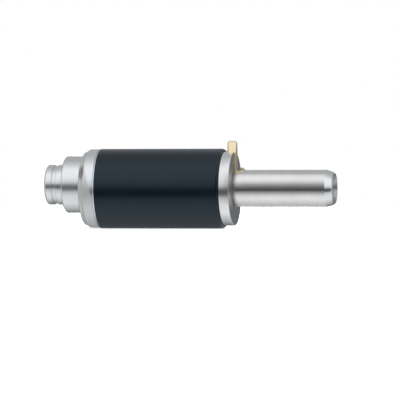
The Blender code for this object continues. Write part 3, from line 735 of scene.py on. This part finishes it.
def make_hose_spigot(finish):
    """The tube that the hose's coupling snaps over: its groove, its mouth and its stem in the collar."""
    rear = SPIGOT.rear
    shoulder = COLLAR.rear + 0.3
    groove = (rear + 1.8, rear + 3.0)
    mouth_r = 3.7
    mouth_end = COLLAR.rear - 0.5
    stem_bore_r = 2.9
    radius = SPIGOT.radius
    outline = [
        *rim(rear, radius, 0.67, 0.95),
        *rounded([
            (groove[0], radius, 0.04),
            (groove[0] + 0.16, radius - 0.34, 0.05),
            (groove[0] + 0.42, radius - 0.24, 0.1),
            (groove[1] - 0.15, radius - 0.24, 0.06),
            (groove[1], radius, 0.05),
            (shoulder, radius, 0.08),
            (shoulder, STEM_R, 0.0),
            (SPIGOT.front, STEM_R, 0.0),
            (SPIGOT.front, stem_bore_r, 0.0),
            (mouth_end, stem_bore_r, 0.06),
            (mouth_end, mouth_r, 0.12),
            (rear + 0.2, mouth_r, 0.1),
            (rear, mouth_r + 0.2, 0.05),
        ]),
    ]
    spigot = lathe("hose_spigot_turned", outline, finish["satin_steel"], SPIGOT.axis_z)
    return finish_mesh(spigot)


def make_hose_collar(finish):
    """The collar, counterbored for the spigot, with its stem in the rear cap."""
    rear = COLLAR.rear
    front = CAP.rear - 0.1
    radius = COLLAR.radius
    bore_step = rear + 3.7
    bore_r = 3.2
    seat_depth = 0.4
    outline = [
        *rim(rear, radius, 0.55, 0.7),
        *rounded([
            (front, radius, 0.1),
            (front, COLLAR_STEM_R, 0.0),
            (COLLAR.front, COLLAR_STEM_R, 0.0),
            (COLLAR.front, bore_r, 0.0),
            (bore_step, bore_r, 0.0),
            (bore_step, STEM_R + 0.1, 0.0),
            (rear + seat_depth, STEM_R + 0.1, 0.0),
            (rear + seat_depth, SPIGOT.radius + 0.06, 0.0),
            (rear, SPIGOT.radius + 0.06, 0.02),
        ]),
    ]
    collar = lathe("hose_collar_turned", outline, finish["satin_steel"], COLLAR.axis_z)
    return finish_mesh(collar)


def make_air_nozzle(finish):
    """The supply nozzle with its pierced flange, seen down the spigot's mouth."""
    rear = NOZZLE.rear
    radius = 1.6
    bore_r = 0.9
    groove = (rear + 0.45, rear + 1.05)
    groove_r = 1.35
    flange = (rear + 3.0, rear + 3.8)
    flange_r = 3.95
    hole_count = 6
    hole_circle_r = 2.6
    hole_r = 0.55
    outline = rounded([
        (rear, radius, 0.15),
        (groove[0], radius, 0.02),
        (groove[0], groove_r, 0.05),
        (groove[1], groove_r, 0.05),
        (groove[1], radius, 0.02),
        (flange[0], radius, 0.1),
        (flange[0], flange_r, 0.0),
        (flange[1], flange_r, 0.0),
        (flange[1], radius, 0.0),
        (NOZZLE.front, radius, 0.0),
        (NOZZLE.front, bore_r, 0.0),
        (rear, bore_r, 0.12),
    ])
    nozzle = lathe("air_nozzle_turned", outline, finish["satin_steel"], NOZZLE.axis_z, SMALL_STEPS)
    holes = []
    for index in range(hole_count):
        turn = 2 * math.pi / hole_count * index
        y = hole_circle_r * math.sin(turn)
        z = NOZZLE.axis_z + hole_circle_r * math.cos(turn)
        holes.append(((flange[0] - 0.5, y, z), (flange[1] + 0.5, y, z), hole_r))
    cut(nozzle, "nozzle_flange_holes", holes)
    return finish_mesh(nozzle)


def make_supply_oring(finish):
    """The O-ring in the nozzle's groove."""
    bpy.ops.mesh.primitive_torus_add(
        major_radius=1.62 * MM,
        minor_radius=0.22 * MM,
        major_segments=SMALL_STEPS,
        minor_segments=20,
        rotation=(0.0, math.pi / 2, 0.0),
        location=((NOZZLE.rear + 0.75) * MM, 0.0, NOZZLE.axis_z * MM),
    )
    ring = bpy.context.active_object
    ring.name = "supply_oring_round"
    ring.data.materials.append(finish["rubber"])
    ring.data.shade_smooth()
    return ring


def make_rear_cap(finish):
    """The flange with its soft chamfers, its neck in the sleeve and the hole for the collar's stem."""
    rear = CAP.rear
    flange_front = SLEEVE.rear - 0.05
    radius = CAP.radius - 0.08
    floor_front = rear + 2.4
    bore_r = 6.9
    outline = rounded([
        (rear, 8.85, 0.15),
        (rear + 0.25, 9.2, 0.3),
        (rear + 0.8, 9.34, 0.42),
        (rear + 1.35, radius - 0.04, 0.5),
        (flange_front, radius, 0.05),
        (flange_front, CAP_NECK_R, 0.0),
        (CAP.front, CAP_NECK_R, 0.0),
        (CAP.front, bore_r, 0.0),
        (floor_front, bore_r, 0.0),
        (floor_front, 0.0, 0.0),
        (rear, 0.0, 0.0),
    ])
    cap = lathe("rear_cap_turned", outline, finish["flange_steel"])
    hole = ((rear - 1.0, 0.0, COLLAR.axis_z), (floor_front + 1.0, 0.0, COLLAR.axis_z), COLLAR_STEM_R + 0.1)
    cut(cap, "rear_cap_hose_hole", [hole])
    return finish_mesh(cap)


def make_grip_sleeve(finish):
    """The plain sleeve, with a narrow chamfer behind and a small round in front."""
    rear = SLEEVE.rear
    front = SLEEVE.front
    radius = SLEEVE.radius
    bore = 9.15
    outline = rounded([
        (rear, radius - 0.15, 0.04),
        (rear + 0.35, radius, 0.1),
        (front - 0.4, radius, 0.5),
        (front, radius - 0.28, 0.1),
        (front, bore, 0.05),
        (rear, bore, 0.05),
    ])
    return finish_mesh(lathe("grip_sleeve_turned", outline, finish["black_anodised"]))


def make_front_cap(finish):
    """The polished ring, its neck, the clearance round the tube and the key's slot."""
    rim_rear = SLEEVE.front + 0.05
    radius = RING.radius
    chamfer = 0.12
    tube_seat = TUBE.rear + 1.2
    tube_clear_r = TUBE_R + 0.1
    seat_clear_r = TUBE.radius + 0.15
    outline = rounded([
        (RING.rear, CAP_NECK_R, 0.0),
        (rim_rear, CAP_NECK_R, 0.0),
        (rim_rear, radius, 0.12),
        (-chamfer, radius, 0.04),
        (0.0, radius - chamfer, 0.04),
        (0.0, tube_clear_r + 0.15, 0.04),
        (-0.15, tube_clear_r, 0.0),
        (tube_seat, tube_clear_r, 0.0),
        (tube_seat, seat_clear_r, 0.0),
        (RING.rear, seat_clear_r, 0.0),
    ])
    ring = lathe("front_cap_turned", outline, finish["polished_steel"])
    half = KEY_SLOT_HALF
    past_ring = (1.0, half, radius + 1.65)
    bar_slot = ((KEY_BAR_REAR - 0.15, -half, 3.0), past_ring)
    pocket_floor = KEY_BLOCK_BOTTOM - KEY_TRAVEL - 0.1
    block_pocket = ((rim_rear - 0.3, -half, pocket_floor), past_ring)
    cut(ring, "key_bar_slot", [bar_slot])
    cut(ring, "key_block_pocket", [block_pocket])
    return finish_mesh(ring, bevel=0.04)


def make_nose_tube(finish):
    """The tube, with its flange, the relief at its root, its mouth and the slot for the key's foot."""
    rear = TUBE.rear
    end = TUBE.front
    flange_front = rear + 1.05
    outline = rounded([
        (rear, TUBE.radius, 0.1),
        (flange_front, TUBE.radius, 0.1),
        (flange_front, TUBE_R, 0.0),
        (TUBE_RELIEF_X[0], TUBE_R, 0.0),
        (TUBE_RELIEF_X[0], TUBE_RELIEF_R, 0.06),
        (TUBE_RELIEF_X[1], TUBE_RELIEF_R, 0.06),
        (TUBE_RELIEF_X[1], TUBE_R, 0.06),
        (end - 2.0, TUBE_R, 0.4),
        (end - 0.5, TUBE_R - 0.55, 0.3),
        (end, 3.7, 0.08),
        (end, TUBE_MOUTH_R, 0.04),
        (end - TUBE_MOUTH_DEPTH, TUBE_BORE_R, 0.3),
        (rear, TUBE_BORE_R, 0.0),
    ])
    tube = lathe("nose_tube_turned", outline, finish["tube_steel"])
    half = KEY_SLOT_HALF
    slot_x = (-1.1, 2.8)
    slot_z = (3.3, 6.0)
    foot_slot = ((slot_x[0], -half, slot_z[0]), (slot_x[1], half, slot_z[1]))
    cut(tube, "key_foot_slot", [foot_slot])
    return finish_mesh(tube, bevel=0.03)


def make_drive_coupling(finish):
    """The slotted dog inside the nose tube, with the hole for its pin."""
    rear = DOG.rear
    front = DOG.front
    radius = DOG.radius
    bore_r = 1.6
    bore_front = -3.0
    slot_depth = 2.9
    slot_half = 0.75
    pin_x = -4.6
    pin_hole_r = 0.5
    reach = 3.0
    outline = rounded([
        (front, 0.0, 0.0),
        (front, radius - 0.4, 0.1),
        (front - 0.6, radius, 0.15),
        (rear, radius, 0.1),
        (rear, bore_r, 0.0),
        (bore_front, bore_r, 0.0),
        (bore_front, 0.0, 0.0),
    ])
    dog = lathe("drive_coupling_turned", outline, finish["bearing_steel"], steps=SMALL_STEPS)
    slot = ((front - slot_depth, -slot_half, -reach), (front + 0.5, slot_half, reach))
    cut(dog, "dog_slot", [slot])
    pin_hole = ((pin_x, -reach - 0.3, 0.0), (pin_x, reach + 0.3, 0.0), pin_hole_r)
    cut(dog, "dog_pin_hole", [pin_hole])
    return finish_mesh(dog, bevel=0.06)


def add_plate(bm, outline, half):
    """Adds a plate with an (x, z) outline, from y = -half to y = half."""
    sides = []
    for y in (-half, half):
        sides.append([bm.verts.new((x * MM, y * MM, z * MM)) for x, z in outline])
    bm.faces.new(sides[0])
    bm.faces.new(list(reversed(sides[1])))
    count = len(outline)
    for index in range(count):
        following = (index + 1) % count
        ring = (sides[0][index], sides[1][index], sides[1][following], sides[0][following])
        bm.faces.new(ring)


def taper_key(bm, foot_top):
    """Draws the sides in towards the top: the block's above its underside, the nub's above its foot."""
    block_bottom = KEY_BLOCK_BOTTOM * MM
    bmesh.ops.bisect_plane(
        bm,
        geom=[*bm.verts, *bm.edges, *bm.faces],
        plane_co=(0.0, 0.0, block_bottom),
        plane_no=(0.0, 0.0, 1.0),
    )
    nub_rear = (KEY_HIGH.x - 1.0) * MM
    for vert in bm.verts:
        start = foot_top * MM if vert.co.x > nub_rear else block_bottom
        rise = max(0.0, vert.co.z - start)
        vert.co.y -= math.copysign(rise * KEY_DRAFT, vert.co.y)


def chamfer_block(bm):
    """Chamfers the block's top edges and rear edges, but not its underside."""
    margin = 0.05
    high = (KEY_HIGH.z - margin) * MM
    rear = (KEY_LOW.x + margin) * MM
    low = (KEY_BLOCK_BOTTOM + margin) * MM
    edges = []
    for edge in bm.edges:
        on_top = all(vert.co.z > high for vert in edge.verts)
        behind = all(vert.co.x < rear for vert in edge.verts)
        underside = all(vert.co.z < low for vert in edge.verts)
        if (on_top or behind) and not underside:
            edges.append(edge)
    bmesh.ops.bevel(bm, geom=edges, offset=0.36 * MM, segments=1, affect="EDGES", clamp_overlap=True)


def make_coupling_key(finish):
    """The gold latch: a tapered push block, a bar down the ring's face and a foot with its nub."""
    top = KEY_HIGH.z
    bottom = KEY_LOW.z
    foot_top = bottom + 0.3
    nub_top = bottom + 1.25
    nub_front = KEY_HIGH.x
    nub_rear = nub_front - 0.9
    outline = [
        (KEY_LOW.x, KEY_BLOCK_BOTTOM),
        (KEY_BAR_REAR, KEY_BLOCK_BOTTOM),
        (KEY_BAR_REAR, bottom),
        (nub_front, bottom),
        (nub_front, bottom + 0.6),
        (nub_front - 0.55, nub_top),
        (nub_rear, nub_top),
        (nub_rear, foot_top),
        (KEY_FRONT, foot_top),
        (KEY_FRONT, top),
        (KEY_LOW.x, top),
    ]
    bm = bmesh.new()
    add_plate(bm, outline, KEY_HIGH.y)
    bmesh.ops.recalc_face_normals(bm, faces=bm.faces)
    taper_key(bm, foot_top)
    chamfer_block(bm)
    key = new_object("coupling_key_milled", bm, finish["gold"])
    half = 0.26
    reach = 3.0
    x, z = KEY_PIN
    pin_slot = ((x - half, -reach, z - half), (x + half, reach, z + KEY_TRAVEL + half))
    cut(key, "key_pin_slot", [pin_slot])
    pocket_r = 0.45
    pocket_bottom = (KEY_SPRING_X, 0.0, KEY_BLOCK_BOTTOM - 0.5)
    pocket_top = (KEY_SPRING_X, 0.0, KEY_BLOCK_BOTTOM + KEY_TRAVEL + 0.1)
    cut(key, "key_spring_pocket", [(pocket_bottom, pocket_top, pocket_r)])
    return finish_mesh(key, bevel=0.04)


# Piece maker, body, node that the piece stands for, and the record's material slot
PIECES = [
    (make_hose_spigot, "housing", "hose_spigot", "satin_steel"),
    (make_hose_collar, "housing", "hose_collar", "satin_steel"),
    (make_air_nozzle, "housing", "air_supply_nozzle", "satin_steel"),
    (make_supply_oring, "housing", "supply_oring", "rubber"),
    (make_rear_cap, "housing", "rear_cap", "satin_steel"),
    (make_grip_sleeve, "housing", "grip_sleeve", "black_anodised"),
    (make_front_cap, "housing", "front_cap", "polished_steel"),
    (make_nose_tube, "housing", "nose_tube", "polished_steel"),
    (make_drive_coupling, "rotor_group", "drive_coupling", "bearing_steel"),
    (make_coupling_key, "key", "coupling_key", "gold"),
]


def dress_frame(finish, replaced):
    """Gives every carried-over node the finish that its record slot names."""
    slots = {row["node"]: row["material_slot"] for row in frame["record"]["subparts"]}
    for node, obj in frame["nodes"].items():
        if node in replaced:
            continue
        obj.data.materials.clear()
        obj.data.materials.append(finish[slots[node]])


bpy.context.scene.view_settings.view_transform = "Standard"
make_camera()
make_world()
make_stage()
make_nose_card()
make_rear_lamp()
FINISH = make_finishes()
for make, body, node, slot in PIECES:
    piece = make(FINISH)
    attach(piece, body)
    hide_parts(node)
dress_frame(FINISH, {row[2] for row in PIECES})
